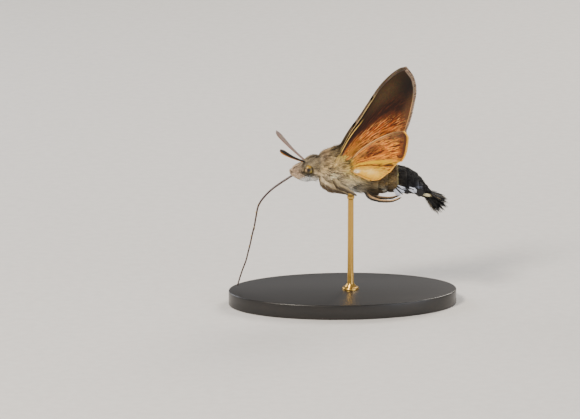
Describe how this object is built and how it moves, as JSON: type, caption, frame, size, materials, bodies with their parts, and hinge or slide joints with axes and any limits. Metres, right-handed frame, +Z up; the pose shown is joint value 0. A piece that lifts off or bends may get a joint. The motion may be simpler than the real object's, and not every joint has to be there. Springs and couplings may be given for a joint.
{
  "type": "hummingbird hawk moth model",
  "caption": "Life-size hummingbird hawk moth hovering with raised wings and its long tongue let down, held on a rod over a flat oval base.",
  "frame": {"origin": "centre of the base's underside, on the surface that it stands on", "axes": "+Z up, +X towards the moth's tail (the picture's right), -Y towards the moth's left side, which the picture shows"},
  "size_m": [0.046, 0.026, 0.0483],
  "materials": {
    "body_hair": "matt grey-brown to olive hair and scales",
    "abdomen_hair": "black hair with white side tufts",
    "tail_scales": "soft black scales in a fan",
    "eye": "olive-gold compound eye with a dark spot",
    "antenna": "black above, pale orange below",
    "proboscis": "dark brown horn with a soft shine",
    "forewing": "scaled membrane, black-brown and rust",
    "hindwing": "scaled membrane, orange with a pale rim",
    "leg": "tan and dark scales over thin legs",
    "stand_wood": "satin black lacquer on hardwood",
    "stand_brass": "satin turned brass"
  },
  "bodies": {
    "root": {"head": "body_hair", "thorax": "body_hair", "abdomen_front": "body_hair", "abdomen_rear": "abdomen_hair", "tail_fan": "tail_scales", "eye_left": "eye", "eye_right": "eye", "palp_left": "body_hair", "palp_right": "body_hair", "antenna_left": "antenna", "antenna_right": "antenna", "proboscis_upper": "proboscis", "proboscis_lower": "proboscis", "forewing_left": "forewing", "forewing_right": "forewing", "hindwing_left": "hindwing", "hindwing_right": "hindwing", "foreleg_left": "leg", "foreleg_right": "leg", "midleg_left": "leg", "midleg_right": "leg", "hindleg_left": "leg", "hindleg_right": "leg", "stand_base": "stand_wood", "stand_rod": "stand_brass"}
  },
  "joints": []
}
